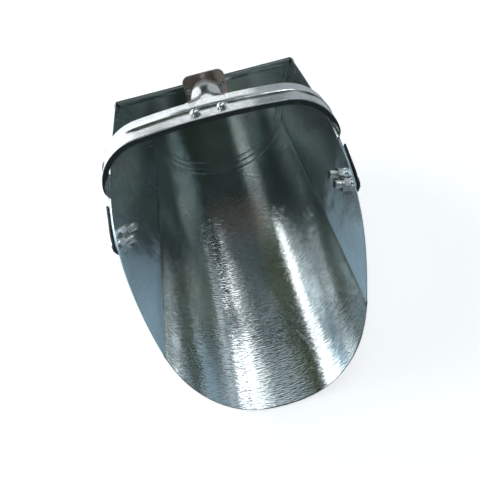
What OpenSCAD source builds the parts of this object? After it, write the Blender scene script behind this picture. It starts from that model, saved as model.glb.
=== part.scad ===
// Galvanised sheet-metal feed scoop: a flared round-bottomed trough with a flat back plate,
// a creased bow strap bolted over the mouth and a half-round grip from the bow to the back.
// +X is to the right, the lip points along -Y, +Z is up. The origin is under the middle of the
// scoop, on the surface that its flat underside strip rests on.

/* [Trough] */
// Radius of the rounded bottom, inside the sheet
bottom_r = 80; // [70:1:90]
// Flare of each flat side wall from upright, in degrees
flare = 19; // [14:1:22]
// Height of the walls at the back plate
wall_h = 119; // [105:1:130]
// Length from the back plate to the tip of the lip
trough_l = 309; // [280:1:340]
// How squarely the lip turns down: a higher power keeps the walls tall for longer
lip_power = 5; // [3:0.5:7]
// Thickness of the trough and back plate sheet
sheet_t = 1; // [0.8:0.1:1.5]
// Width of the flattened strip under the bottom
rest_w = 30; // [20:1:40]
// Width of the lap flange that joins the back plate to the trough
lap_w = 7; // [5:0.5:10]
// Height of the folded hem along the back plate's top edge
hem_h = 6; // [4:0.5:9]

/* [Bow strap] */
// Distance from the back plate to the middle of the bow strap
bow_y = 142; // [138:1:146]
// Width of the bow strap along the scoop
bow_w = 28; // [26:0.5:30]
// Thickness of the bow strap
bow_t = 1.5; // [1.2:0.1:2]
// Radius of the bend where the strap leaves the wall, inside the strap
ankle_r = 5; // [4:1:8]
// Lean of the strap inwards, just above the wall, in degrees
leg_lean = 8; // [6:1:10]
// Radius of the bow's two shoulders, inside the strap
shoulder_r = 46.5; // [44:0.5:49]
// Slope of the bow's crown where it meets a shoulder, in degrees
crown_slope = 6; // [5:0.5:7]
// Rise of the crease along the strap
crease_rise = 0.8; // [0.5:0.1:1.2]
// Width of the crease
crease_w = 2.5; // [2:0.5:4]
// Depth of the flange turned down along the strap's front edge
bow_flange = 4.5; // [3:0.5:6]
// Distance from the back plate to the front end of the strap's feet
foot_front = 206; // [205:1:209]
// Distance from the back plate to the middle of each foot's two bolts
foot_y = 192; // [190:1:192]

/* [Grip] */
// Radius of the half-round grip, outside
grip_r = 15; // [13:0.5:16]
// Straight depth of the grip's sides below the half-round
grip_side = 3; // [2:0.5:6]
// Thickness of the grip and bracket sheet
grip_t = 1.5; // [1.2:0.1:2]
// Radius of the bend along the top of the grip
grip_bend_r = 110; // [90:5:130]
// Slope of the grip's rear stretch, in degrees
grip_slope = 22; // [21:0.5:23]
// Width of the rear bracket plate
bracket_w = 46; // [44:1:50]
// Height of the rear bracket above the back plate's top edge
bracket_rise = 9.5; // [8:0.5:12]

/* [Fasteners] */
// Diameter of the side bolts
bolt_d = 6; // [5:1:6]
// Distance between the two bolts on each side
bolt_gap = 13; // [13:0.5:15]
// Depth of the bolts below the wall's edge, measured down the wall
bolt_drop = 9; // [8.5:0.5:11]
// Length of bolt that stands past each nut
bolt_tail = 6; // [4:0.5:8]
// Length of the black foot pads along the scoop
pad_l = 42; // [38:1:44]
// Thickness of the black foot pads
pad_t = 1.5; // [1:0.1:2.5]
// Diameter of the rivets' shanks
rivet_d = 4.8; // [4:0.2:5]

/* [Hidden] */
$fn = 96;
e = 0.01;

// Zinc-coated sheet, black rubber and bright zinc
sheet_colour = "#9aa5a8";
strap_colour = "#c3c8cb";
pad_colour = "#1d1f20";
bolt_colour = "#b8bcbd";

// Trough section: both circles share a centre set so that the rest strip lies on Z = 0
outer_r = bottom_r + sheet_t;
centre_z = sqrt(pow(outer_r, 2) - pow(rest_w / 2, 2));
// Half width of the trough's inner face at a height on the flat of the wall
function wall_x(z) = bottom_r / cos(flare) + (z - centre_z) * tan(flare);
// Height of the wall's edge at a distance from the back plate
function rim_z(y) = wall_h * (1 - pow(y / trough_l, lip_power));

// Rear pieces stand this far behind the back plate, and the origin is midway along the scoop
rivet_head_h = 2;
rivet_head_r = rivet_d * 0.78;
tail_y = rivet_head_h;
shift_y = (trough_l - tail_y) / 2;

// Bow: the strap leaves the wall's outer face just above the edge, then three arcs follow on
rim_gap = 0.5;
spring_z = rim_z(bow_y - bow_w / 2) + rim_gap;
spring_x = wall_x(spring_z) + sheet_t / cos(flare);
ankle_x = spring_x - ankle_r * cos(flare);
ankle_z = spring_z + ankle_r * sin(flare);
shoulder_x = ankle_x + (ankle_r - shoulder_r) * cos(leg_lean);
shoulder_z = ankle_z + (ankle_r - shoulder_r) * sin(leg_lean);
crown_r = (shoulder_x + shoulder_r * sin(crown_slope)) / sin(crown_slope);
crown_in_z = shoulder_z + shoulder_r * cos(crown_slope) + crown_r * (1 - cos(crown_slope));
crown_centre_z = crown_in_z - crown_r;
crease_y = bow_y - 1;
bow_back = bow_y - bow_w / 2;
bow_front = bow_y + bow_w / 2;

// Bolts: they pass square through the wall, near the front of the foot
bolt_r = bolt_d / 2;
bolt_z = rim_z(foot_y) - bolt_drop * cos(flare);
foot_down = 10;
foot_drop = (spring_z - bolt_z) / cos(flare) + foot_down;
hole_r = bolt_r + 0.3;
washer_hole_r = bolt_r + 0.1;
washer_t = 1.2;
washer_r = bolt_d;
head_washer_t = 0.8;
lock_t = 1.6;
lock_r = bolt_d * 0.875;
lock_split = 1;
nut_t = bolt_d * 0.83;
nut_r = bolt_d * 0.962;
nut_chamfer = 0.6;
head_r = bolt_d * 0.95;
head_h = 1.9;
slot_w = 1.2;
slot_depth = 1;
stack_out = sheet_t + bow_t + pad_t + head_washer_t;
stack_in = washer_t + lock_t + nut_t + bolt_tail;

// Grip: its tongue runs level from under the bow, and the crest just below it bends down to
// the bracket
tongue_z = crown_in_z;
crest_drop = 0.4;
crest_z = tongue_z - crest_drop;
neck_y = bow_back - 3;
bend_y = neck_y - 2;
bracket_front = sheet_t + grip_t;
bend_end_y = bend_y - grip_bend_r * sin(grip_slope);
ramp_l = (bend_end_y - bracket_front) / cos(grip_slope);
grip_depth = grip_r + grip_side;
tongue_w = 30;
tongue_front = bow_front - 2;
tongue_tip = [6, bend_y - 8];
front_rivet_x = 10.3;
front_rivet_y = bow_y + 5;
bracket_corner = 8;
bracket_bottom = wall_h - 44;
bracket_top = wall_h + bracket_rise;
rear_rivet_x = bracket_w / 2 - 4.6;
rear_rivet_zs = [wall_h - 8, wall_h - 32];
rivet_r = rivet_d / 2;
rivet_hole_r = rivet_r + 0.1;

// Local X, on a wall's frame, of the wall's edge at a distance from the back plate
function up_at(y) = -(rim_z(y) - bolt_z) / cos(flare);

// ---- shared shapes ----

// Filled trough outline, grown outwards from the inner face, up to a height
module u_outline(grow, top, bottom) {
    r = bottom_r + grow;
    tx = r * cos(flare);
    tz = centre_z - r * sin(flare);
    top_x = tx + (top - tz) * tan(flare);
    intersection() {
        union() {
            intersection() {
                translate([0, centre_z]) circle(r);
                translate([-2 * r, -r]) square([4 * r, centre_z + r]);
            }
            polygon([[tx, tz], [top_x, top], [-top_x, top], [-tx, tz]]);
        }
        translate([-2 * r, bottom]) square([4 * r, top - bottom]);
    }
}

// Extrudes an XZ outline along Y, between two distances from the back plate
module along_scoop(near, far) {
    translate([0, -near, 0]) rotate([90, 0, 0]) linear_extrude(far - near) children();
}

// Frame on a side wall: local X runs down the wall, Y along the scoop, Z straight out of it
module on_wall(side) {
    scale_x = side == "left" ? 1 : 0;
    mirror([scale_x, 0, 0])
        translate([wall_x(bolt_z), shift_y - foot_y, bolt_z])
            rotate([0, 90 + flare, 0]) children();
}

module at_bolts() {
    for (s = [-1, 1]) translate([0, s * bolt_gap / 2, 0]) children();
}

module ring(outer, inner, h) {
    difference() {
        cylinder(r = outer, h = h);
        translate([0, 0, -1]) cylinder(r = inner, h = h + 2);
    }
}

// Domed cap on a flat base
module dome(r, h) {
    ball = (r * r + h * h) / (2 * h);
    intersection() {
        translate([0, 0, h - ball]) sphere(ball);
        cylinder(r = r + 1, h = h + 1);
    }
}

// ---- sheet metal ----

module scoop_shell() {
    color(sheet_colour) translate([0, shift_y, 0]) difference() {
        intersection() {
            along_scoop(0, trough_l) difference() {
                u_outline(sheet_t, wall_h, 0);
                u_outline(0, wall_h + 1, sheet_t);
            }
            lip_cut();
        }
        wall_holes("right");
        wall_holes("left");
    }
}

// Side view of the walls: level at the back, then turning down to the tip of the lip
module lip_cut() {
    steps = 48;
    edge = [for (i = [0:steps]) let(s = 1 - pow(1 - i / steps, 2)) [-s * trough_l, rim_z(s * trough_l)]];
    translate([-2 * bottom_r, 0, 0]) rotate([90, 0, 90]) linear_extrude(4 * bottom_r)
        polygon(concat([[0, 0]], edge));
}

module wall_holes(side) {
    translate([0, -shift_y, 0]) on_wall(side) at_bolts()
        translate([0, 0, -5]) cylinder(r = hole_r, h = 10 + sheet_t);
}

module back_plate() {
    color(sheet_colour) translate([0, shift_y, 0]) difference() {
        union() {
            along_scoop(0, sheet_t) u_outline(0, wall_h, sheet_t);
            along_scoop(sheet_t, lap_w) difference() {
                u_outline(0, wall_h, sheet_t);
                u_outline(-sheet_t, wall_h + 1, 2 * sheet_t);
            }
            hem_x = wall_x(wall_h - hem_h) - 2 * sheet_t;
            translate([-hem_x, -e, wall_h - hem_h]) cube([2 * hem_x, sheet_t + e, hem_h]);
        }
        rear_rivet_holes();
    }
}

module rear_rivet_holes() {
    for (s = [-1, 1], z = rear_rivet_zs)
        translate([s * rear_rivet_x, sheet_t, z]) rotate([90, 0, 0])
            cylinder(r = rivet_hole_r, h = bracket_front + 2 * sheet_t);
}

// ---- bow strap ----

// Points along an arc, from one angle above +X to another
function arc(centre, r, from, to, steps) = [
    for (i = [0:steps]) let(a = from + (to - from) * i / steps)
        [centre[0] + r * cos(a), centre[1] + r * sin(a)]
];
// Right half of the strap's line above the wall's edge, grown outwards
function bow_half(grow) = concat(
    arc([ankle_x, ankle_z], ankle_r + grow, -flare, leg_lean, 4),
    arc([shoulder_x, shoulder_z], shoulder_r + grow, leg_lean, 90 - crown_slope, 40),
    arc([0, crown_centre_z], crown_r + grow, 90 - crown_slope, 90, 3)
);
// The same with the foot's straight line down the outside of the wall
function foot_line(grow) = [
    for (drop = [foot_drop, 0])
        [spring_x + grow * cos(flare) - drop * sin(flare), spring_z - grow * sin(flare) - drop * cos(flare)]
];
function leg_half(grow) = concat([foot_line(grow)[0]], bow_half(grow));
// The other half of a half line, from the middle outwards
function mirrored(points) = [for (i = [len(points) - 2:-1:0]) [-points[i][0], points[i][1]]];
function reversed(points) = [for (i = [len(points) - 1:-1:0]) points[i]];
// A half line without its first few points, next to the foot
function above_foot(points) = [for (i = [6:len(points) - 1]) points[i]];

// Closed outline of a band between an outer and an inner half line
function band(outer, inner) = concat(outer, mirrored(outer), reversed(concat(inner, mirrored(inner))));

module bow_strap() {
    color(strap_colour) translate([0, shift_y, 0]) difference() {
        union() {
            along_scoop(bow_back, bow_front) polygon(band(leg_half(bow_t), leg_half(0)));
            along_scoop(crease_y - crease_w / 2, crease_y + crease_w / 2)
                polygon(band(above_foot(bow_half(bow_t + crease_rise)), above_foot(bow_half(bow_t / 2))));
            along_scoop(bow_front - bow_t, bow_front)
                polygon(band(above_foot(bow_half(bow_t / 2)), above_foot(bow_half(-bow_flange))));
            foot();
            mirror([1, 0, 0]) foot();
        }
        for (side = ["right", "left"])
            translate([0, -shift_y, 0]) on_wall(side) at_bolts() cylinder(r = hole_r, h = 2 * stack_out);
        front_rivet_holes();
    }
}

module front_rivet_holes() {
    for (s = [-1, 1]) translate([s * front_rivet_x, -front_rivet_y, tongue_z - 2 * grip_t])
        cylinder(r = rivet_hole_r, h = 2 * (grip_t + bow_t));
}

// Part of the foot that reaches ahead of the strap, its top edge falling with the wall's edge
module foot() {
    under_strap = bow_front - 4;
    toe_back = foot_front - 8;
    edge = [for (y = [bow_front, (bow_front + foot_front) / 2, foot_front]) [-y, rim_z(y) - rim_gap]];
    intersection() {
        along_scoop(under_strap, foot_front) polygon(concat(foot_line(bow_t), reversed(foot_line(0))));
        translate([spring_x - bottom_r, 0, 0]) rotate([90, 0, 90]) linear_extrude(2 * bottom_r)
            polygon(concat(
                [[-under_strap, 0], [-under_strap, edge[0][1]]], edge, [[-foot_front, bolt_z], [-toe_back, 0]]
            ));
    }
}

// ---- grip ----

// Half-round channel, open below, with its crest on the origin; Y is up
module grip_section() {
    difference() {
        grip_outline(grip_r);
        grip_outline(grip_r - grip_t);
    }
}

module grip_outline(r) {
    translate([0, -grip_r]) circle(r);
    translate([-r, -grip_depth - 1]) square([2 * r, grip_side + 1]);
}

module trimmed_section() {
    intersection() {
        grip_section();
        translate([-grip_r - 1, -grip_depth]) square([2 * grip_r + 2, grip_depth + 1]);
    }
}

module grip() {
    color(strap_colour) translate([0, shift_y, 0]) difference() {
        union() {
            // tongue under the bow, narrowing to the crest of the channel
            translate([0, 0, tongue_z - grip_t]) linear_extrude(grip_t) polygon([
                [-tongue_w / 2, -tongue_front], [tongue_w / 2, -tongue_front], [tongue_w / 2, -neck_y],
                [tongue_tip[0], -tongue_tip[1]], [-tongue_tip[0], -tongue_tip[1]], [-tongue_w / 2, -neck_y]
            ]);
            translate([0, -bend_y, crest_z - grip_bend_r]) rotate([-grip_slope, 0, 0])
                translate([0, 0, grip_bend_r]) {
                    along_scoop(-ramp_l - grip_depth, 0) trimmed_section();
                    grip_bend();
                }
        }
        // square end against the bracket
        translate([-tongue_w, -bracket_front, 0]) cube([2 * tongue_w, 2 * grip_depth, 2 * crest_z]);
        front_rivet_holes();
    }
}

// Bend forwards from the origin, about an axis along X far below it
module grip_bend() {
    translate([0, 0, -grip_bend_r]) rotate([0, -90, 180])
        rotate_extrude(angle = grip_slope) translate([grip_bend_r, 0])
            rotate([0, 0, -90]) trimmed_section();
}

module rear_bracket() {
    color(strap_colour) translate([0, shift_y, 0]) difference() {
        along_scoop(sheet_t, bracket_front) bracket_outline();
        rear_rivet_holes();
    }
}

module bracket_outline() {
    half = bracket_w / 2;
    translate([-half, bracket_bottom + bracket_corner])
        square([bracket_w, bracket_top - bracket_bottom - 2 * bracket_corner]);
    translate([-half + bracket_corner, bracket_bottom])
        square([bracket_w - 2 * bracket_corner, bracket_top - bracket_bottom]);
    for (s = [-1, 1], z = [bracket_bottom + bracket_corner, bracket_top - bracket_corner])
        translate([s * (half - bracket_corner), z]) circle(bracket_corner);
}

// ---- rivets ----

// Rivet along Z: the shank fills its hole, with a dome on top and a flatter dome below
module rivet(grip_l) {
    cylinder(r = rivet_r, h = grip_l);
    translate([0, 0, grip_l - e]) dome(rivet_head_r, rivet_head_h);
    translate([0, 0, e]) mirror([0, 0, 1]) dome(rivet_head_r * 0.9, rivet_head_h * 0.7);
}

module grip_front_rivets() {
    color(bolt_colour) for (s = [-1, 1])
        translate([s * front_rivet_x, shift_y - front_rivet_y, tongue_z - grip_t])
            rivet(grip_t + bow_t);
}

module grip_rear_rivets() {
    color(bolt_colour) for (s = [-1, 1], z = rear_rivet_zs)
        translate([s * rear_rivet_x, shift_y - bracket_front, z]) rotate([-90, 0, 0])
            rivet(bracket_front);
}

// ---- side fastenings ----

// Outline of a pad over the foot: its top edge falls with the lip
module pad_outline() {
    front = foot_front - foot_y;
    back = pad_l - front;
    slant = 3;
    polygon([
        [up_at(foot_y - back), back], [up_at(foot_y), 0], [up_at(foot_y + front), -front],
        [foot_down, slant - front], [foot_down, back - slant]
    ]);
}

module foot_pad(side) {
    color(pad_colour) on_wall(side) translate([0, 0, sheet_t + bow_t]) difference() {
        linear_extrude(pad_t) pad_outline();
        at_bolts() translate([0, 0, -1]) cylinder(r = hole_r, h = pad_t + 2);
    }
}

module side_bolts(side) {
    color(bolt_colour) on_wall(side) at_bolts() difference() {
        union() {
            translate([0, 0, -stack_in]) cylinder(r = bolt_r, h = stack_in + stack_out + e);
            translate([0, 0, stack_out]) dome(head_r, head_h);
        }
        // driver slot
        translate([-head_r, -slot_w / 2, stack_out + head_h - slot_depth])
            cube([2 * head_r, slot_w, 2 * slot_depth]);
    }
}

module head_washers(side) {
    color(bolt_colour) on_wall(side) at_bolts()
        translate([0, 0, stack_out - head_washer_t]) ring(head_r + 0.6, washer_hole_r, head_washer_t);
}

module flat_washers(side) {
    color(bolt_colour) on_wall(side) at_bolts()
        translate([0, 0, -washer_t]) ring(washer_r, washer_hole_r, washer_t);
}

module lock_washers(side) {
    color(bolt_colour) on_wall(side) at_bolts() translate([0, 0, -washer_t - lock_t]) difference() {
        ring(lock_r, washer_hole_r, lock_t);
        rotate([25, 0, 40]) translate([0, -lock_split / 2, -lock_t]) cube([bolt_d, lock_split, 5 * lock_t]);
    }
}

module side_nuts(side) {
    // 45 degree cones chamfer both ends of the hexagon
    end_r = nut_r - nut_chamfer;
    color(bolt_colour) on_wall(side) at_bolts() translate([0, 0, -washer_t - lock_t - nut_t]) difference() {
        intersection() {
            cylinder(r = nut_r, h = nut_t, $fn = 6);
            cylinder(r1 = end_r, r2 = end_r + nut_t, h = nut_t);
            cylinder(r1 = end_r + nut_t, r2 = end_r, h = nut_t);
        }
        translate([0, 0, -1]) cylinder(r = bolt_r + 0.05, h = nut_t + 2);
    }
}

scoop_shell();
back_plate();
bow_strap();
grip();
rear_bracket();
grip_front_rivets();
grip_rear_rivets();
foot_pad("right");  // foot_pad_right
foot_pad("left");  // foot_pad_left
side_bolts("right");  // side_bolts_right
side_bolts("left");  // side_bolts_left
head_washers("right");  // head_washers_right
head_washers("left");  // head_washers_left
flat_washers("right");  // flat_washers_right
flat_washers("left");  // flat_washers_left
lock_washers("right");  // lock_washers_right
lock_washers("left");  // lock_washers_left
side_nuts("right");  // side_nuts_right
side_nuts("left");  // side_nuts_left
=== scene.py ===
# Galvanised feed scoop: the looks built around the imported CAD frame. Metres, +Z up, lip towards -Y.
import math

import bmesh
import bpy
import numpy as np
from mathutils import Matrix, Vector


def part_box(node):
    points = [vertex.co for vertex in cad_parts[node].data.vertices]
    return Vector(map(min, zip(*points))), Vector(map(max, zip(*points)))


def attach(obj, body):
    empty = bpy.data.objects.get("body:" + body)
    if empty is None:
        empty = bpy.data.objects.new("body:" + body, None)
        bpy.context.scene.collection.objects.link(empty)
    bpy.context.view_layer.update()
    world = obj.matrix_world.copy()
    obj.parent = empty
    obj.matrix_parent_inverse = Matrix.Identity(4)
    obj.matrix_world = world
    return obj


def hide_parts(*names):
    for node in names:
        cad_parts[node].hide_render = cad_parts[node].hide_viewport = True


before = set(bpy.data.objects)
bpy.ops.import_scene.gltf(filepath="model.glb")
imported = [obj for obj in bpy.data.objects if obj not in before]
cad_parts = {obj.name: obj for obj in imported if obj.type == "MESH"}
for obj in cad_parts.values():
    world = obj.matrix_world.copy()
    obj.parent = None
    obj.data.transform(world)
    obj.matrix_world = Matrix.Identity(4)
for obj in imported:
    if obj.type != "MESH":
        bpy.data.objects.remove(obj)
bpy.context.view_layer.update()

MM = 0.001

# ---- sizes in millimetres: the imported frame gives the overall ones, the rest follow the CAD ----
shell_low, shell_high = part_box("scoop_shell")
strap_low, strap_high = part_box("bow_strap")
TROUGH_L = (shell_high.y - shell_low.y) / MM
WALL_H = shell_high.z / MM
shift_y = shell_high.y / MM  # distances along the scoop run from the back plate towards the lip
FOOT_FRONT = shift_y - strap_low.y / MM
BOW_BACK = shift_y - strap_high.y / MM
BOTTOM_R = 80.0
FLARE = 19.0
LIP_POWER = 5.0
SHEET_T = 1.0
REST_W = 30.0
LAP_W = 7.0
HEM_H = 6.0
BOW_W = 28.0
BOW_T = 1.5
RIM_GAP = 0.5
ANKLE_R = 5.0
LEG_LEAN = 8.0
SHOULDER_R = 46.5
CROWN_SLOPE = 6.0
CREASE_RISE = 0.8
CREASE_BACK = 1.0
BOW_FLANGE = 4.5
FOOT_DOWN = 10.0
FOOT_Y = 192.0
BOLT_DROP = 9.0
GRIP_R = 15.0
GRIP_SIDE = 3.0
GRIP_T = 1.5
GRIP_BEND_R = 110.0
GRIP_SLOPE = 22.0
TONGUE_W = 30.0
TONGUE_SETBACK = 2.0
NECK_L = 5.0
CREST_DROP = 0.4
BRACKET_W = 46.0
BRACKET_RISE = 9.5
BRACKET_DOWN = 44.0
BRACKET_CORNER = 8.0

# details that only the visual model has
GAP = 0.02  # between sheets that lie on each other
GROOVE_Y = LAP_W + 4.5
FLANGE_BEND_R = 0.7
PLATE_BEND_R = 2.0
THREAD_PITCH = 1.0
FOOT_CORNER = 3.0
FOOT_FADE = 20.0  # the crease and the turned-down edge grow over this length of each leg
ROLL_AHEAD = 7.0  # the tongue starts to roll up this far ahead of its bend
ROLL_L = 22.0

flare = math.radians(FLARE)
slope = math.radians(CROWN_SLOPE)
lean = math.radians(LEG_LEAN)
centre_z = math.sqrt((BOTTOM_R + SHEET_T) ** 2 - (REST_W / 2) ** 2)


def wall_x(z):
    """Half width of the trough's inner face at a height on the flat of the wall."""
    return BOTTOM_R / math.cos(flare) + (z - centre_z) * math.tan(flare)


def rim_z(y):
    """Height of the wall's edge at a distance from the back plate."""
    return WALL_H * (1 - np.power(np.clip(y / TROUGH_L, 0, 1), LIP_POWER))


bow_y = BOW_BACK + BOW_W / 2
bow_front = BOW_BACK + BOW_W
spring_z = float(rim_z(BOW_BACK)) + RIM_GAP
spring_x = wall_x(spring_z) + SHEET_T / math.cos(flare)
ankle_x = spring_x - ANKLE_R * math.cos(flare)
ankle_z = spring_z + ANKLE_R * math.sin(flare)
shoulder_x = ankle_x + (ANKLE_R - SHOULDER_R) * math.cos(lean)
shoulder_z = ankle_z + (ANKLE_R - SHOULDER_R) * math.sin(lean)
crown_r = (shoulder_x + SHOULDER_R * math.sin(slope)) / math.sin(slope)
crown_in_z = shoulder_z + SHOULDER_R * math.cos(slope) + crown_r * (1 - math.cos(slope))
bolt_z = float(rim_z(FOOT_Y)) - BOLT_DROP * math.cos(flare)
bend_y = BOW_BACK - NECK_L
bracket_front = SHEET_T + GRIP_T


# ---- mesh helpers ----
def row(points):
    """CAD millimetres, with y as the distance from the back plate, to metres in the row frame."""
    p = np.asarray(points, float)
    return np.stack([p[..., 0], shift_y - p[..., 1], p[..., 2]], -1) * MM


def add_mesh(name, verts, faces, material, uvs=None, smooth=True):
    mesh = bpy.data.meshes.new(name)
    mesh.from_pydata([tuple(v) for v in verts], [], faces)
    if uvs is not None:
        layer = mesh.uv_layers.new(name="sheet")
        loops = np.empty(len(mesh.loops), int)
        mesh.loops.foreach_get("vertex_index", loops)
        layer.data.foreach_set("uv", np.asarray(uvs, np.float32)[loops].ravel())
    bm = bmesh.new()
    bm.from_mesh(mesh)
    bmesh.ops.remove_doubles(bm, verts=bm.verts, dist=1e-7)
    bmesh.ops.dissolve_degenerate(bm, dist=1e-7, edges=bm.edges)
    bm.to_mesh(mesh)
    bm.free()
    mesh.polygons.foreach_set("use_smooth", [smooth] * len(mesh.polygons))
    mesh.materials.append(material)
    obj = bpy.data.objects.new(name, mesh)
    bpy.context.scene.collection.objects.link(obj)
    return obj


def grid_mesh(name, grid, uv, material, flip=False, wrap=False):
    """Surface through a grid of CAD points, with its sheet coordinates; both are in millimetres."""
    rows, cols = grid.shape[:2]
    faces = []
    for i in range(rows - 1):
        for j in range(cols if wrap else cols - 1):
            a = i * cols + j
            b = i * cols + (j + 1) % cols
            quad = (a, b, b + cols, a + cols)
            faces.append(quad[::-1] if flip else quad)
    return add_mesh(name, row(grid).reshape(-1, 3), faces, material, uv.reshape(-1, 2) * MM)


def thicken(obj, thickness, offset, even=False, edge=0.3):
    """Makes a surface into sheet metal with rounded edges; both sizes are in millimetres."""
    solid = obj.modifiers.new("thickness", "SOLIDIFY")
    solid.thickness = thickness * MM
    solid.offset = offset
    solid.use_even_offset = even
    bevel = obj.modifiers.new("edges", "BEVEL")
    bevel.width = edge * MM
    bevel.segments = 3
    bevel.limit_method = "ANGLE"
    bevel.angle_limit = math.radians(50)
    bevel.use_clamp_overlap = True
    obj.modifiers.new("normals", "WEIGHTED_NORMAL")
    return obj


def arc_points(centre, r, start, end, n):
    a = np.radians(np.linspace(start, end, n))
    return np.stack([centre[0] + r * np.cos(a), centre[1] + r * np.sin(a)], -1)


def lengths(path):
    """Distance along a path to each of its points."""
    return np.concatenate([[0], np.cumsum(np.linalg.norm(np.diff(path, axis=0), axis=1))])


def resample(path, s):
    at = lengths(path)
    return np.stack([np.interp(s, at, path[:, k]) for k in range(path.shape[1])], -1)


def normals_2d(path):
    t = np.gradient(path, axis=0)
    t /= np.linalg.norm(t, axis=1)[:, None]
    return np.stack([t[:, 1], -t[:, 0]], -1)


def ease(t):
    """Smooth step from 0 to 1."""
    t = np.clip(t, 0, 1)
    return t * t * (3 - 2 * t)


# ---- node helpers ----
class Nodes:
    """Short way to wire a node tree."""

    def __init__(self, tree):
        self.tree = tree
        self.made = 0

    def node(self, kind, inputs=None, **settings):
        n = self.tree.nodes.new(kind)
        self.made += 1
        n.location = (-220 * (1 + self.made // 6), 300 - 160 * (self.made % 6))
        for key, value in settings.items():
            setattr(n, key, value)
        for key, value in (inputs or {}).items():
            self.join(value, n.inputs[key])
        return n

    def join(self, value, socket):
        if isinstance(value, bpy.types.NodeSocket):
            self.tree.links.new(value, socket)
        elif isinstance(value, tuple) and len(value) == 3 and socket.type == "RGBA":
            socket.default_value = (*value, 1)
        else:
            socket.default_value = value

    def math(self, op, a, b=0.0):
        return self.node("ShaderNodeMath", {0: a, 1: b}, operation=op).outputs[0]

    def times(self, a, b):
        return self.math("MULTIPLY", a, b)

    def stretch(self, vector, scales):
        return self.node("ShaderNodeVectorMath", {0: vector, 1: scales}, operation="MULTIPLY").outputs[0]

    def step(self, fac, low, high, to_low=0.0, to_high=1.0):
        inputs = {0: fac, 1: low, 2: high, 3: to_low, 4: to_high}
        return self.node("ShaderNodeMapRange", inputs, clamp=True, interpolation_type="SMOOTHSTEP").outputs[0]

    def mix(self, fac, a, b):
        return self.node("ShaderNodeMix", {0: fac, 6: a, 7: b}, data_type="RGBA").outputs[2]

    def noise(self, vector, scale, detail=2.0, rough=0.5):
        inputs = {"Vector": vector, "Scale": scale, "Detail": detail, "Roughness": rough}
        return self.node("ShaderNodeTexNoise", inputs).outputs[0]

    def bump(self, height, distance, strength=1.0, normal=None):
        inputs = {"Height": height, "Distance": distance, "Strength": strength}
        if normal is not None:
            inputs["Normal"] = normal
        return self.node("ShaderNodeBump", inputs).outputs[0]


def shader(name, **inputs):
    """Material with a Principled shader; uniform values go straight on to its sockets."""
    material = bpy.data.materials.new(name)
    material.use_nodes = True
    nodes = Nodes(material.node_tree)
    bsdf = material.node_tree.nodes["Principled BSDF"]
    for key, value in inputs.items():
        nodes.join(value, bsdf.inputs[key.replace("_", " ")])
    return material, nodes, bsdf


# ---- materials: texture scales count per metre, and bump depths are in metres ----
def scratched(m, co):
    """Mask of long fine scratches: three families, each with its own direction and patches."""
    mask = None
    for angle, seed in ((0.45, 0.0), (-0.62, 3.1), (1.2, 7.7)):
        placing = {"Vector": co, "Rotation": (0, 0, angle), "Location": (seed, seed, 0)}
        turned = m.node("ShaderNodeMapping", placing).outputs[0]
        thread = m.step(m.noise(m.stretch(turned, (1700.0, 26.0, 1.0)), 1.0, 1.0, 0.4), 0.66, 0.78)
        patch = m.step(m.noise(turned, 30.0, 2.0), 0.48, 0.62)
        family = m.times(thread, patch)
        mask = family if mask is None else m.math("MAXIMUM", mask, family)
    return mask


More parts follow.
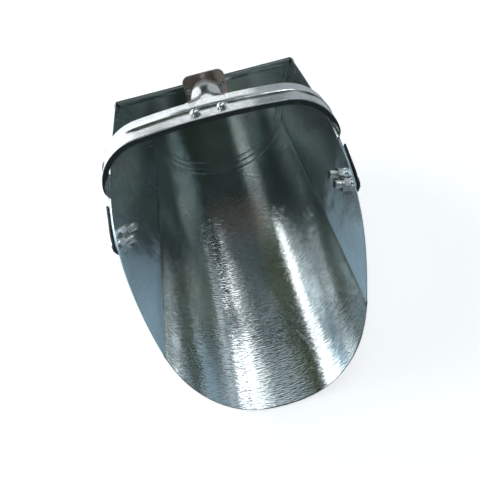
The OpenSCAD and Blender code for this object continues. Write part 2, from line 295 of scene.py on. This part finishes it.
def metal(name, light, dark, rough=(0.09, 0.16), marks=1.0, waves=1.0, fold=None, painted_reflection_colour=None):
    """Zinc-coated sheet, in sheet coordinates: X runs round or along the piece, Y across it.

    Faint spangle, stains, short rubbed strokes along X, a few long scratches and a softly uneven
    surface. Beyond a fold, given as its X in metres, the sheet is a wall: duller, with a painted
    reflection: painted darker towards the back and a pale blue, less metallic colour towards the lip.
    """
    material, m, bsdf = shader(name, Metallic=1.0)
    shadow = tuple(0.45 * part for part in dark)
    co = m.node("ShaderNodeTexCoord").outputs["UV"]
    crystals = m.node("ShaderNodeTexVoronoi", {"Vector": m.stretch(co, (1.0, 0.7, 1.0)), "Scale": 260.0})
    tone = m.node("ShaderNodeSeparateColor", {0: crystals.outputs["Color"]}).outputs[0]
    stain = m.noise(co, 16.0, 4.0, 0.6)
    strokes = m.noise(m.stretch(co, (170.0, 1000.0, 1.0)), 1.0, 1.5, 0.5)
    grain = m.noise(m.stretch(co, (700.0, 2600.0, 1.0)), 1.0, 2.0, 0.6)
    scratches = m.times(scratched(m, co), marks)

    shade = m.math("ADD", m.times(tone, 0.22), m.times(m.step(stain, 0.38, 0.68), 0.55))
    base = m.mix(shade, light, dark)
    base = m.mix(m.times(m.step(strokes, 0.54, 0.66), 0.6 * marks), base, light)
    base = m.mix(m.times(m.step(strokes, 0.34, 0.46, 1.0, 0.0), 0.5 * marks), base, shadow)
    dullness = m.math("ADD", m.times(stain, 0.7), m.times(grain, 0.3))
    roughness = m.step(dullness, 0.3, 0.7, rough[0], rough[1])
    roughness = m.math("ADD", roughness, m.times(scratches, 0.12))
    stroke_depth = m.times(strokes, marks)

    if fold is not None:
        spot = m.node("ShaderNodeSeparateXYZ", {0: co}).outputs
        wall = m.step(m.math("ABSOLUTE", spot[0]), fold - 0.001, fold + 0.0015)
        towards_lip = m.math("ADD", spot[1], m.times(stain, 0.24))
        # painted reflection: the wall is painted darker towards the back and pale blue, less metallic,
        # towards the lip
        painted_reflection_mask = m.times(wall, m.step(towards_lip, 0.24, 0.36))
        base = m.mix(m.times(wall, 0.75), base, m.mix(painted_reflection_mask, dark, painted_reflection_colour))
        roughness = m.math("ADD", roughness, m.times(wall, 0.08))
        m.join(m.step(painted_reflection_mask, 0.0, 1.0, 1.0, 0.35), bsdf.inputs["Metallic"])
        stroke_depth = m.times(stroke_depth, m.step(wall, 0.0, 1.0, 1.0, 0.8))

    normal = m.bump(m.noise(co, 24.0, 2.0, 0.4), 0.0004 * waves)
    normal = m.bump(stroke_depth, 0.00018, 1.0, normal)
    normal = m.bump(scratches, 0.00004, 0.8, normal)
    m.join(base, bsdf.inputs["Base Color"])
    m.join(roughness, bsdf.inputs["Roughness"])
    m.join(normal, bsdf.inputs["Normal"])
    return material


def fastener_metal(name, light, dark, thread_from=None):
    """Bright zinc plate. Bolts also carry a thread, from their ends out to the wall's inner face,
    which is at thread_from along their axis."""
    material, m, bsdf = shader(name, Metallic=1.0)
    co = m.node("ShaderNodeTexCoord").outputs["Object"]
    tarnish = m.noise(co, 170.0, 4.0, 0.6)
    normal = m.bump(m.noise(co, 700.0, 2.0), 0.00004)
    if thread_from is not None:
        # distance along the bolts' axis, which is square to the flared wall on either side
        xyz = m.node("ShaderNodeSeparateXYZ", {0: co}).outputs
        sideways = m.times(m.math("ABSOLUTE", xyz[0]), math.cos(flare))
        out = m.math("SUBTRACT", sideways, m.times(xyz[2], math.sin(flare)))
        wave = m.math("SINE", m.times(out, 2 * math.pi / (THREAD_PITCH * MM)))
        inside = m.step(out, thread_from - 0.0005, thread_from, 1.0, 0.0)
        normal = m.bump(m.times(wave, inside), 0.00022, 1.0, normal)
    m.join(m.mix(m.step(tarnish, 0.35, 0.7), light, dark), bsdf.inputs["Base Color"])
    m.join(m.step(tarnish, 0.3, 0.7, 0.07, 0.15), bsdf.inputs["Roughness"])
    m.join(normal, bsdf.inputs["Normal"])
    return material


def rubber_skin():
    material, m, bsdf = shader("black_rubber")
    co = m.node("ShaderNodeTexCoord").outputs["Object"]
    grime = m.noise(co, 160.0, 5.0, 0.65)
    colour = m.mix(m.step(grime, 0.3, 0.7), (0.008, 0.009, 0.010), (0.035, 0.037, 0.038))
    m.join(colour, bsdf.inputs["Base Color"])
    m.join(m.step(grime, 0.3, 0.7, 0.42, 0.68), bsdf.inputs["Roughness"])
    m.join(m.bump(m.noise(co, 900.0, 3.0), 0.0001, 0.5), bsdf.inputs["Normal"])
    return material


# ---- trough section ----
def half_section():
    """Inner face from the middle of the bottom out and up the wall, finely sampled.

    The middle is a shallow curve that is level at the rest strip and joins the round bottom
    without a corner.
    """
    join = BOTTOM_R / 2
    fall = math.sqrt(BOTTOM_R ** 2 - join ** 2)
    tilt = join / fall
    rise = centre_z - fall - SHEET_T
    fourth = (tilt * join / 2 - rise) / join ** 4
    second = (tilt - 4 * fourth * join ** 3) / (2 * join)
    x = np.linspace(0, join, 60)
    bottom = np.stack([x, SHEET_T + second * x ** 2 + fourth * x ** 4], -1)
    arc = arc_points((0, centre_z), BOTTOM_R, -60, -FLARE, 80)[1:]
    top = WALL_H + 2
    wall = np.linspace(arc[-1], (wall_x(top), top), 60)[1:]
    return np.concatenate([bottom, arc, wall])


SECTION = half_section()
SECTION_S = lengths(SECTION)
FOLD = float(np.interp(centre_z - BOTTOM_R * math.sin(flare), SECTION[:, 1], SECTION_S))


def on_section(s):
    """Point and outward normal of the inner face at signed distances from the middle of the bottom."""
    p = resample(SECTION, np.abs(s))
    q = resample(SECTION, np.abs(s) + 0.05)
    t = (q - p) / np.maximum(np.linalg.norm(q - p, axis=-1), 1e-9)[..., None]
    side = np.where(s < 0, -1.0, 1.0)
    point = np.stack([p[..., 0] * side, p[..., 1]], -1)
    normal = np.stack([t[..., 1] * side, -t[..., 0]], -1)
    return point, normal


def section_at_height(z):
    return np.interp(z, SECTION[:, 1], SECTION_S)


# ---- the materials themselves ----
wall_out = (wall_x(bolt_z) * math.cos(flare) - bolt_z * math.sin(flare)) * MM
# the trough's walls carry a painted reflection, pale blue towards the lip and darker towards the back
sheet_metal = metal("galvanised_sheet", (0.92, 0.96, 0.97), (0.60, 0.67, 0.68), fold=FOLD * MM,
                    painted_reflection_colour=(0.52, 0.78, 0.98))
# painted reflection: the back plate and hem get the same zinc painted darker and greener than the trough's
dark_reflection_plate_metal = metal("galvanised_plate_painted_dark", (0.44, 0.49, 0.47), (0.24, 0.29, 0.27), marks=0.3)
strap_metal = metal("bright_strap", (0.86, 0.88, 0.89), (0.64, 0.68, 0.70), rough=(0.09, 0.18),
                    marks=0.4, waves=0.6)
grip_metal = metal("grip_zinc", (0.80, 0.82, 0.82), (0.54, 0.59, 0.57), rough=(0.10, 0.20),
                   marks=0.5, waves=0.6)
# painted reflection: the bracket's pink tint is a reflection of the surroundings, painted into its colour
bracket_painted_pink_reflection = metal("bracket_painted_pink_reflection", (0.86, 0.66, 0.60), (0.58, 0.43, 0.39), rough=(0.22, 0.36),
                      marks=0.5)
bolt_metal = fastener_metal("bright_zinc", (0.95, 0.95, 0.94), (0.70, 0.71, 0.71))
thread_metal = fastener_metal("bright_zinc_thread", (0.95, 0.95, 0.94), (0.68, 0.70, 0.70), wall_out)
rubber = rubber_skin()


# ---- trough and back plate ----
def dents(s, y):
    """Outward unevenness of worked sheet, in millimetres: soft dents that fade out where other
    pieces are fastened, the crease where the round bottom meets each flat wall, and the groove
    pressed just ahead of the back plate's lap flange."""
    soft = 0.16 * np.sin(s / 13.0 + 0.7 * np.sin(y / 41.0)) * np.sin(y / 67.0 + 0.4)
    soft += 0.18 * np.sin(s / 31.0 + y / 53.0 + 1.9)
    soft += 0.12 * np.sin(s / 19.0 - y / 37.0 + 0.6)
    ahead_of_plate = np.clip((y - 14.0) / 30.0, 0, 1)
    near_bolts = np.exp(-(((y - FOOT_Y) / 34.0) ** 2)) * np.clip((np.abs(s) - 90.0) / 30.0, 0, 1)
    crease = 0.35 * np.exp(-(((np.abs(s) - FOLD) / 1.5) ** 2)) * np.clip((y - 12.0) / 6.0, 0, 1)
    groove = 0.6 * np.exp(-(((y - GROOVE_Y) / 0.9) ** 2))
    return soft * ahead_of_plate * (1 - near_bolts) + crease + groove


def trough():
    rows = 170
    half_columns = 96
    gather = 12.0  # columns within this of the fold are drawn towards it
    # rows close up towards the lip, with more of them across the groove
    t = np.linspace(0, 1, rows)
    y = np.union1d(TROUGH_L * (1 - (1 - t) ** 1.6), GROOVE_Y + np.linspace(-2.5, 2.5, 11))
    y[-1] = TROUGH_L - GAP
    s_rim = section_at_height(rim_z(y))[:, None]
    right = s_rim * np.linspace(0, 1, half_columns + 1)[None, :]
    near = np.clip(1 - np.abs(right - FOLD) / gather, 0, 1) * (s_rim > FOLD + gather)
    right = right + near * near * (FOLD - right) * 0.6
    s = np.concatenate([-right[:, :0:-1], right], 1)
    along = np.repeat(y[:, None], s.shape[1], 1)
    point, normal = on_section(s)
    point = point + normal * dents(s, along)[..., None]
    height = np.maximum(point[..., 1], SHEET_T)
    grid = np.stack([point[..., 0], along, height], -1)
    obj = grid_mesh("trough", grid, np.stack([s, along], -1), sheet_metal)
    return thicken(obj, SHEET_T, -1.0, even=True, edge=0.35)


def back_sheet():
    """Flat plate, rounded over into the lap flange that lies inside the trough."""
    bend = PLATE_BEND_R
    s_top = float(section_at_height(WALL_H))
    outline, out = on_section(np.linspace(-s_top, s_top, 193))
    # the flange's front edge, back to the bend and round it, as (depth, inset)
    steps = [(SHEET_T + LAP_W - 0.3, GAP), (SHEET_T + LAP_W * 0.5, GAP), (bend + 0.6, GAP)]
    for a in np.linspace(0.2, math.pi / 2, 6):
        steps.append((bend - bend * math.sin(a), bend * (1 - math.cos(a)) + GAP))
    rings = []
    for depth, inset in steps:
        q = outline - out * inset
        rings.append(np.stack([q[:, 0], np.full(len(q), depth), q[:, 1]], -1))
    # then level across the plate to its middle line
    edge = outline - out * bend
    for share in np.linspace(1, 0, 26)[1:]:
        rings.append(np.stack([edge[:, 0] * share, np.zeros(len(edge)), edge[:, 1]], -1))
    grid = np.stack(rings)
    apart = 500.0  # so that the texture differs from the trough's
    uv = np.stack([grid[..., 0], grid[..., 2] + grid[..., 1]], -1) + apart
    return thicken(grid_mesh("back_sheet", grid, uv, dark_reflection_plate_metal, flip=True), SHEET_T, 1.0)


def hem():
    """Folded top edge of the back plate, a rounded roll along its inside face."""
    z_low = WALL_H - HEM_H
    z_round = WALL_H - 1.2
    inner = 2 * SHEET_T
    outline = [(SHEET_T, z_low), (inner - 0.25, z_low - 0.1), (inner, z_low + 0.5), (inner, z_round)]
    for a in np.linspace(0.25, math.pi - 0.25, 7):
        outline.append((SHEET_T + math.cos(a), z_round + 1.1 * math.sin(a)))
    outline += [(0.0, z_round), (0.0, z_low - 1.0)]
    half = wall_x(z_low) - 1.5
    grid = []
    for x in np.linspace(-half, half, 60):
        ripple = 0.12 * math.sin(x / 9.0)
        grid.append([(x, depth, z + ripple) for depth, z in outline])
    grid = np.array(grid)
    uv = np.stack([grid[..., 0], grid[..., 2] + grid[..., 1]], -1)
    return grid_mesh("back_hem", grid, uv, dark_reflection_plate_metal)


# ---- bow strap ----
def bow_path(n):
    """Inner face of the strap from one foot over to the other, as (x, z), with the length of a
    foot and the whole length."""
    drop = (spring_z - bolt_z) / math.cos(flare) + FOOT_DOWN
    bottom = (spring_x - drop * math.sin(flare), spring_z - drop * math.cos(flare))
    foot = np.linspace(bottom, (spring_x, spring_z), 14)
    ankle = arc_points((ankle_x, ankle_z), ANKLE_R, -FLARE, LEG_LEAN, 8)
    shoulder = arc_points((shoulder_x, shoulder_z), SHOULDER_R, LEG_LEAN, 90 - CROWN_SLOPE, 70)
    crown = arc_points((0, crown_in_z - crown_r), crown_r, 90 - CROWN_SLOPE, 90, 24)
    half = np.concatenate([foot, ankle[1:], shoulder[1:], crown[1:]])
    full = np.concatenate([half, half[-2::-1] * [-1, 1]])
    total = lengths(full)[-1]
    return resample(full, np.linspace(0, total, n)), drop, total


def foot_reach(z):
    """How far ahead of the bow's middle the strap reaches: the foot follows the wall's edge."""
    edge = TROUGH_L * np.power(np.clip(1 - (z + RIM_GAP) / WALL_H, 0, 1), 1 / LIP_POWER)
    return float(np.clip(edge, bow_front, FOOT_FRONT)) - bow_y


def bow_section(rear, front, shape):
    """Section from the rear edge forwards, as (distance from the bow's middle, height).

    shape runs from 0 on the flat feet to 1 where the crease and the turned-down edge are whole.
    """
    rise = CREASE_RISE * shape
    crease = -CREASE_BACK
    bend = FLANGE_BEND_R
    points = [(-rear, 0.0), (-rear * 0.5, rise * 0.1), (crease - 1.6, rise * 0.25), (crease - 0.5, rise),
              (crease + 0.4, rise), (crease + 1.4, rise * 0.1), (front * 0.36, rise * 0.16),
              (front * 0.7, 0.0)]
    for share in np.linspace(0, 1, 5):
        g = math.pi / 2 * shape * share
        flat = bend * (1 - shape) * share
        points.append((front - bend + bend * math.sin(g) + flat, -bend * (1 - math.cos(g))))
    turned = (BOW_FLANGE - bend) * shape
    points.append((front, -bend * shape - turned * 0.5))
    points.append((front, -bend * shape - turned - 0.01))
    return points


def bow():
    path, drop, total = bow_path(340)
    out = normals_2d(path)
    along = np.linspace(0, total, len(path))
    from_end = np.minimum(along, total - along)
    shape = ease((from_end - drop - 1.0) / FOOT_FADE)
    grid = []
    for k, (x, z) in enumerate(path):
        rounding = FOOT_CORNER * (1 - min(from_end[k] / 4.0, 1)) ** 2
        rear = BOW_W / 2 - rounding
        front = foot_reach(z) - rounding if from_end[k] < drop else BOW_W / 2
        section = bow_section(rear, front, shape[k])
        grid.append([(x + out[k, 0] * h, bow_y + d, z + out[k, 1] * h) for d, h in section])
    grid = np.array(grid)
    uv = np.stack([np.repeat(along[:, None], grid.shape[1], 1), grid[..., 1] - bow_y], -1)
    return thicken(grid_mesh("bow", grid, uv, strap_metal), BOW_T, 1.0, even=True)


# ---- grip ----
def grip():
    """Tongue riveted under the bow, rolled up into the half-round grip that falls to the bracket."""
    tilt = math.radians(GRIP_SLOPE)
    front = bow_front - TONGUE_SETBACK
    ramp_start = bend_y - GRIP_BEND_R * math.sin(tilt)
    level_l = front - bend_y
    arc_l = GRIP_BEND_R * tilt
    half_round = GRIP_R * math.pi / 2 + GRIP_SIDE
    # distances from the tongue's front; the straight ramp adds shares of its length, from 0 to 1
    rows = np.concatenate([np.linspace(0, level_l - 8, 12), np.linspace(level_l - 7, level_l + 24, 28),
                           np.linspace(level_l + 27, level_l + arc_l, 10),
                           level_l + arc_l + np.linspace(0, 1, 46)[1:]])
    grid = []
    for t in rows:
        roll = float(ease((t - level_l + ROLL_AHEAD) / ROLL_L))
        half = TONGUE_W / 2 + (half_round - TONGUE_W / 2) * roll
        u = np.linspace(-1, 1, 41) * half
        roll_r = GRIP_R / max(roll, 1e-3)
        around = np.clip(u / roll_r, -math.pi / 2, math.pi / 2)
        x = roll_r * np.sin(around)
        down = roll_r * (1 - np.cos(around)) + np.abs(u - around * roll_r)
        turn = min(max(t - level_l, 0) / GRIP_BEND_R, tilt)
        # every line along the ramp ends on the bracket, so the end is cut square
        ramp_l = (ramp_start + down * math.sin(tilt) - bracket_front) / math.cos(tilt)
        ramp_l = ramp_l * max(t - level_l - arc_l, 0)
        y = max(front - t, bend_y) - (GRIP_BEND_R - down) * math.sin(turn) - ramp_l * math.cos(tilt)
        crest = crown_in_z - GAP - CREST_DROP * roll - GRIP_BEND_R * (1 - math.cos(turn))
        z = crest - down * math.cos(turn) - ramp_l * math.sin(tilt)
        grid.append(np.stack([x, y, z], -1))
    grid = np.array(grid)
    columns = grid.shape[1]
    along = np.repeat(lengths(grid[:, columns // 2])[:, None], columns, 1)
    across = np.repeat(np.linspace(-27, 27, columns)[None, :], len(grid), 0)
    obj = grid_mesh("grip_shell", grid, np.stack([along, across], -1), grip_metal)
    return thicken(obj, GRIP_T, -1.0, edge=0.35)


def bracket():
    """Plate with rounded corners and softened edges, standing against the back plate."""
    x = BRACKET_W / 2 - BRACKET_CORNER
    low = WALL_H - BRACKET_DOWN + BRACKET_CORNER
    high = WALL_H + BRACKET_RISE - BRACKET_CORNER
    corners = [((x, high), 0), ((-x, high), 90), ((-x, low), 180), ((x, low), 270)]
    edge = np.concatenate([arc_points(c, BRACKET_CORNER, start, start + 90, 12) for c, start in corners])
    middle = edge.mean(0)
    rings = []
    for share in (0.0, 0.3, 0.6, 0.85, 0.96, 1.0):
        q = middle + (edge - middle) * share
        rings.append(np.stack([q[:, 0], np.full(len(q), bracket_front), q[:, 1]], -1))
    grid = np.array(rings)
    uv = np.stack([grid[..., 0], grid[..., 2]], -1)
    obj = grid_mesh("bracket", grid, uv, bracket_painted_pink_reflection, flip=True, wrap=True)
    return thicken(obj, bracket_front - SHEET_T, -1.0, edge=0.4)


# ---- pieces on the frame ----
pieces = [trough(), back_sheet(), hem(), bow(), grip(), bracket()]
for piece in pieces:
    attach(piece, "root")
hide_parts("scoop_shell")
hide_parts("back_plate")
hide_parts("bow_strap")
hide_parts("grip")
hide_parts("rear_bracket")


def fastening_material(name):
    if "pad" in name:
        return rubber
    return thread_metal if "side_bolts" in name else bolt_metal


for name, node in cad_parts.items():
    if not node.hide_render:
        for slot in node.material_slots:
            slot.material = fastening_material(name)

# ---- floor ----
scene = bpy.context.scene
scene.view_settings.view_transform = "Standard"

FLOOR_REACH = 30.0  # metres
pale = shader("pale_floor", Base_Color=(0.93, 0.935, 0.94), Roughness=0.8, Emission_Color=(1, 1, 1),
              Emission_Strength=0.62)[0]
floor_corners = [(x * FLOOR_REACH, y * FLOOR_REACH, 0) for x, y in ((-1, -1), (1, -1), (1, 1), (-1, 1))]
floor = add_mesh("floor", floor_corners, [(0, 1, 2, 3)], pale, smooth=False)
floor.visible_glossy = False


# ---- light ----
def studio():
    """World light: soft panels laid over a dim room, each an azimuth and elevation range in degrees.

    Azimuth 0 is behind the scoop and positive to its right. Later panels cover earlier ones, and
    those laid by the turn away from the back are the same on both sides.
    """
    world = bpy.data.worlds.new("studio")
    scene.world = world
    world.use_nodes = True
    m = Nodes(world.node_tree)
    way = m.node("ShaderNodeSeparateXYZ", {0: m.node("ShaderNodeTexCoord").outputs["Generated"]}).outputs
    azimuth = m.times(m.math("ARCTAN2", way[0], way[1]), 180 / math.pi)
    turn = m.math("ABSOLUTE", azimuth)
    elevation = m.times(m.math("ARCSINE", way[2]), 180 / math.pi)
    light = (0.035, 0.046, 0.043)

    def panel(angle, start, end, low, high, colour, soft=3.0):
        nonlocal light
        inside = m.times(m.step(angle, start - soft, start), m.step(angle, end, end + soft, 1.0, 0.0))
        inside = m.times(inside, m.step(elevation, low - soft, low))
        inside = m.times(inside, m.step(elevation, high, high + soft, 1.0, 0.0))
        light = m.mix(inside, light, colour)

    # pale ground and the room's walls, dark below the front
    panel(turn, -9, 189, -99, -24, (0.52, 0.54, 0.55), 5.0)
    panel(turn, -9, 189, -24, -2, (0.30, 0.33, 0.34), 5.0)
    panel(turn, 142, 189, -70, -16, (0.015, 0.02, 0.02), 5.0)
    # ceiling, brighter to the right of the back and straight above
    panel(turn, -9, 189, 66, 99, (0.42, 0.50, 0.55))
    panel(azimuth, 20, 50, 64, 76, (1.3, 1.4, 1.45))
    panel(turn, -9, 189, 80, 99, (1.1, 1.15, 1.2), 5.0)
    # walls out to each side
    panel(azimuth, 58, 105, 5, 60, (0.32, 0.38, 0.42), 6.0)
    panel(azimuth, -110, -76, 5, 60, (0.26, 0.31, 0.34), 6.0)
    # behind: grey sheet to the right, white sheet to the left, a bright strip between
    panel(azimuth, 8, 34, -20, 28, (0.40, 0.44, 0.46))
    panel(azimuth, -10, 8, 22, 31, (1.1, 1.15, 1.15))
    panel(azimuth, -36, -10, -20, 27, (1.25, 1.3, 1.3))
    # left: the window's dimmer top, the window, and the dark wall above the white sheet
    panel(azimuth, -72, -53, 28, 47, (1.9, 2.0, 2.05))
    panel(azimuth, -74, -38, -10, 36, (3.0, 3.1, 3.1), 2.0)
    panel(azimuth, -51, -9, 41, 61, (0.07, 0.085, 0.055))
    # right: grey wall, two bright panes, the gap under them and a dim pane below it
    panel(azimuth, 10, 34, 45, 58, (0.34, 0.37, 0.37))
    panel(azimuth, 30, 45, 52, 63, (2.8, 2.9, 3.0), 2.0)
    panel(azimuth, 45, 54, 45, 54, (3.2, 3.3, 3.4), 2.0)
    panel(azimuth, 40, 52, 38, 43, (0.30, 0.36, 0.40), 2.0)
    panel(azimuth, 44, 57, 30, 37, (0.55, 0.62, 0.68), 2.0)
    # in front: grey above dark green, and a bright gap with grey under it on the left
    panel(turn, 142, 189, 35, 45, (0.13, 0.155, 0.16))
    panel(turn, 142, 189, 8, 35, (0.04, 0.055, 0.045))
    panel(azimuth, -166, -150, 26, 38, (1.0, 1.05, 1.05), 2.0)
    panel(azimuth, -161, -150, 2, 24, (0.28, 0.31, 0.30), 2.0)
    # past the floor's edge the background is plain white paper
    seen = m.node("ShaderNodeLightPath").outputs["Is Camera Ray"]
    m.join(m.mix(seen, light, (1.0, 1.0, 1.0)), world.node_tree.nodes["Background"].inputs[0])


studio()

# ---- camera: at the photograph's viewing angle ----
CAMERA_X = 6.4
CAMERA_Y = 436.3  # ahead of the back plate
CAMERA_Z = 320.2
CAMERA_AZIMUTH = math.radians(-1.511)
CAMERA_ELEVATION = math.radians(44.201)
CAMERA_ROLL = math.radians(-13.801)

camera_data = bpy.data.cameras.new("camera")
camera_data.sensor_width = 36.0
camera_data.lens = 31.5
camera_data.shift_x = -0.03125
camera_data.shift_y = -0.04167
camera_data.clip_start = 0.01
camera = bpy.data.objects.new("camera", camera_data)
level = math.cos(CAMERA_ELEVATION)
back_x = math.sin(CAMERA_AZIMUTH) * level
back_y = -math.cos(CAMERA_AZIMUTH) * level
back = Vector((back_x, back_y, math.sin(CAMERA_ELEVATION)))
right = (-back).cross(Vector((0, 0, 1))).normalized()
up = right.cross(-back)
rolled_right = right * math.cos(CAMERA_ROLL) + up * math.sin(CAMERA_ROLL)
rolled_up = up * math.cos(CAMERA_ROLL) - right * math.sin(CAMERA_ROLL)
facing = Matrix((rolled_right, rolled_up, back)).transposed().to_4x4()
camera.matrix_world = Matrix.Translation(Vector(row((CAMERA_X, CAMERA_Y, CAMERA_Z)))) @ facing
scene.collection.objects.link(camera)
scene.camera = camera
